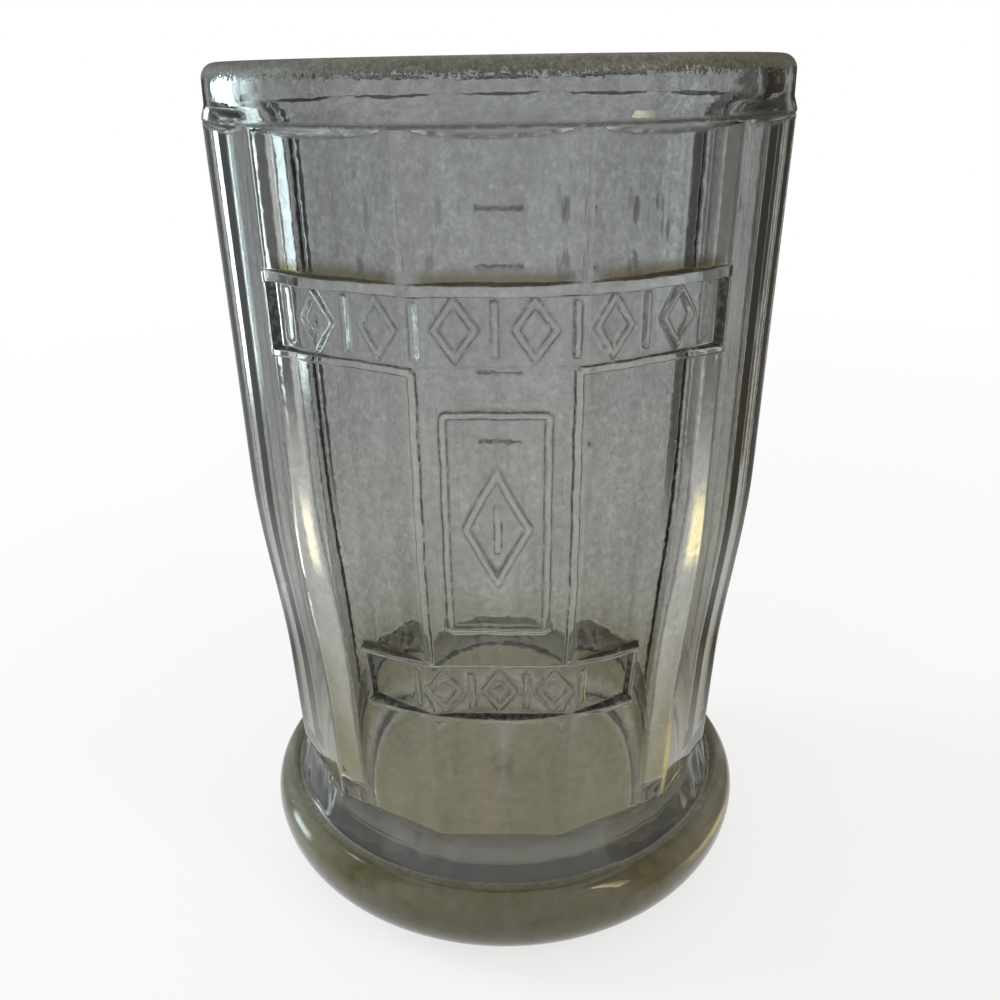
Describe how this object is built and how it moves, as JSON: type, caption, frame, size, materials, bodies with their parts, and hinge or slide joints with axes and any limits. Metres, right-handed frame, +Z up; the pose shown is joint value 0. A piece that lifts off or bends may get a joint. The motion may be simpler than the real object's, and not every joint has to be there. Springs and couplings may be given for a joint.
{
  "type": "mixer jar",
  "caption": "Pressed glass jar of a hand-cranked kitchen mixer: flat panels, a waist, a plain collar for the lid, a thick round foot and low framing ribs on the front.",
  "frame": {"origin": "centre of the resting ring under the foot", "axes": "+Z up along the jar's axis to the mouth; -Y towards the front panel, the middle one of the three that carry the ribs"},
  "size_m": [0.1102, 0.1102, 0.172],
  "materials": {
    "glass": "fire-polished pressed glass, slightly grey-green"
  },
  "bodies": {
    "root": {"glass_jar": "glass"}
  },
  "joints": []
}
